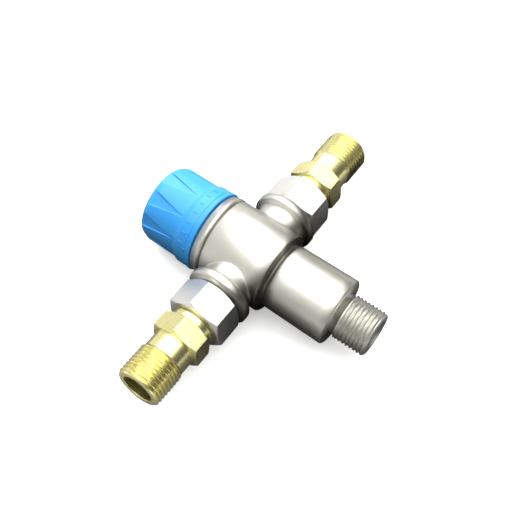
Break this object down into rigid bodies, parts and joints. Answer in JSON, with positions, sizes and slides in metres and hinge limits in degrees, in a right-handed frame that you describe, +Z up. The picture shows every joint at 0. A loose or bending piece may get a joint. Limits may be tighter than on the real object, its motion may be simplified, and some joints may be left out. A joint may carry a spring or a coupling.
{
  "type": "thermostatic mixing valve",
  "caption": "Plated brass tee mixing valve with a blue adjusting cap, union-nut inlet arms with check valves, and a threaded mixed-water outlet.",
  "frame": {"origin": "centre of the mixed outlet's end face, on the body's axis", "axes": "-Y out of the outlet along the body's axis, +Y towards the adjusting cap, +X along the inlet arms towards the cold inlet, +Z up, square to the tee's plane, as the valve lies on a bench"},
  "size_m": [0.1566, 0.1136, 0.039],
  "materials": {
    "satin_nickel": "satin nickel plate on cast brass",
    "nickel_nut": "nickel plate, smoother than the casting",
    "yellow_brass": "machined brass, unplated",
    "blue_plastic": "semi-gloss moulded plastic",
    "bare_brass": "machined brass inside the valve",
    "stainless": "stainless spring and clip steel",
    "black_rubber": "EPDM rubber",
    "fibre_washer": "EPDM washer",
    "copper_sensor": "copper sensor cup",
    "white_acetal": "acetal moulding",
    "black_acetal": "glass-filled moulding",
    "screw_steel": "plated steel screw"
  },
  "bodies": {
    "valve": {"valve_body": "satin_nickel", "bonnet_ring": "satin_nickel", "bonnet_o_ring": "black_rubber", "hot_seat": "bare_brass", "flow_guide": "white_acetal", "return_spring": "stainless", "hot_sealing_washer": "fibre_washer", "hot_tail": "yellow_brass", "hot_nut_retainer": "stainless", "hot_strainer": "stainless", "hot_check_housing": "white_acetal", "hot_check_spring": "stainless", "cold_sealing_washer": "fibre_washer", "cold_tail": "yellow_brass", "cold_nut_retainer": "stainless", "cold_strainer": "stainless", "cold_check_housing": "white_acetal", "cold_check_spring": "stainless"},
    "cap": {"adjusting_cap": "blue_plastic", "cap_screw": "screw_steel", "adjusting_spindle": "bare_brass", "spindle_o_rings": "black_rubber", "spindle_circlip": "stainless"},
    "adjuster": {"adjuster_sleeve": "bare_brass", "sleeve_snap_ring": "stainless", "overload_spring": "stainless"},
    "overload": {"overload_cup": "stainless", "element_pin": "stainless"},
    "sensor": {"wax_element": "copper_sensor", "shuttle": "black_acetal", "shuttle_o_ring": "black_rubber"},
    "hot_nut": {"hot_union_nut": "nickel_nut"},
    "cold_nut": {"cold_union_nut": "nickel_nut"},
    "hot_poppet": {"hot_check_poppet": "black_acetal"},
    "cold_poppet": {"cold_check_poppet": "black_acetal"}
  },
  "joints": [
    {"name": "cap_turn", "type": "hinge", "parent": "valve", "child": "cap", "pos_m": [0, 0.1035, 0], "axis": [0, 1, 0], "range_deg": [-150, 150]},
    {"name": "adjuster_travel", "type": "slide", "parent": "valve", "child": "adjuster", "axis": [0, 1, 0], "range_m": [-0.00125, 0.00125]},
    {"name": "overload_travel", "type": "slide", "parent": "adjuster", "child": "overload", "axis": [0, 1, 0], "range_m": [0, 0.0015], "stiffness_N_per_m": 8000, "springref_m": -0.001, "deforming": ["overload_spring"]},
    {"name": "sensor_travel", "type": "slide", "parent": "adjuster", "child": "sensor", "axis": [0, -1, 0], "range_m": [0, 0.0012], "stiffness_N_per_m": 1500, "springref_m": -0.004, "deforming": ["return_spring"]},
    {"name": "hot_nut_turn", "type": "hinge", "parent": "valve", "child": "hot_nut", "pos_m": [-0.0346, 0.0635, 0], "axis": [1, 0, 0], "continuous": true},
    {"name": "cold_nut_turn", "type": "hinge", "parent": "valve", "child": "cold_nut", "pos_m": [0.0346, 0.0635, 0], "axis": [1, 0, 0], "continuous": true},
    {"name": "hot_check_lift", "type": "slide", "parent": "valve", "child": "hot_poppet", "axis": [1, 0, 0], "range_m": [0, 0.0025], "stiffness_N_per_m": 100, "springref_m": -0.004, "deforming": ["hot_check_spring"]},
    {"name": "cold_check_lift", "type": "slide", "parent": "valve", "child": "cold_poppet", "axis": [-1, 0, 0], "range_m": [0, 0.0025], "stiffness_N_per_m": 100, "springref_m": -0.004, "deforming": ["cold_check_spring"]}
  ],
  "couplings": [
    {"joint": "adjuster_travel", "follows": "cap_turn", "m_per_rad": 0.0004774}
  ]
}
